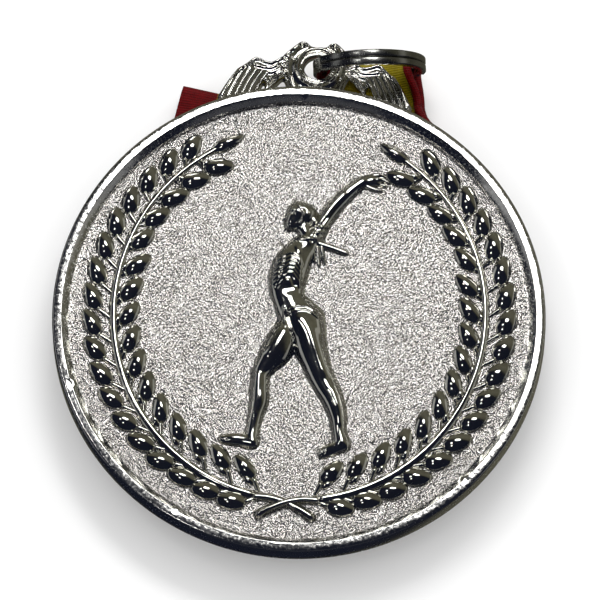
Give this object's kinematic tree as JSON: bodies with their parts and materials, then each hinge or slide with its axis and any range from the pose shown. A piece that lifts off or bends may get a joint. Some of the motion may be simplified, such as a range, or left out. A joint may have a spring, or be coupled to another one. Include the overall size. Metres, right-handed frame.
{
  "type": "sports finisher medal",
  "caption": "Round cast medal with laurel wreath and athlete in relief, winged hanger, split ring and folded striped neck ribbon.",
  "frame": {"origin": "centre of the object's bounding box in X and Y, on the surface that the folded ribbon lies on", "axes": "+Y from the medal's centre to its hanger, +Z out of the medal's face, +X to the right of the face"},
  "size_m": [0.065, 0.072, 0.0158],
  "materials": {
    "blasted_field": "bright plated metal, sandblasted to a fine even grain",
    "polished_plating": "mirror-polished bright plating",
    "polished_relief": "polished bright plating with soft cast edges",
    "ring_steel": "nickel-plated flat steel wire, satin",
    "ribbon": "woven polyester with stripes of red, yellow and red in the ratio 1 to 2 to 1",
    "thread": "twisted sewing thread"
  },
  "bodies": {
    "medal": {"medal_disc": "blasted_field", "rim": "polished_plating", "wreath_left": "polished_relief", "wreath_right": "polished_relief", "athlete_relief": "polished_relief", "eyelet": "polished_plating", "wing_left": "polished_plating", "wing_right": "polished_plating"},
    "ring": {"split_ring": "ring_steel", "ribbon_loop": "ribbon", "ribbon_stitching": "thread"},
    "ribbon": {"ribbon_hank": "ribbon"}
  },
  "joints": [
    {"name": "ring_swing", "type": "hinge", "parent": "medal", "child": "ring", "pos_m": [0, 0.03215, 0.0083], "axis": [0, 0, 1], "range_deg": [-12, 180]},
    {"name": "ribbon_swing", "type": "hinge", "parent": "ring", "child": "ribbon", "pos_m": [0.00723, 0.02989, 0.00042], "axis": [0.9945, 0.1045, 0], "range_deg": [0, 150]}
  ]
}
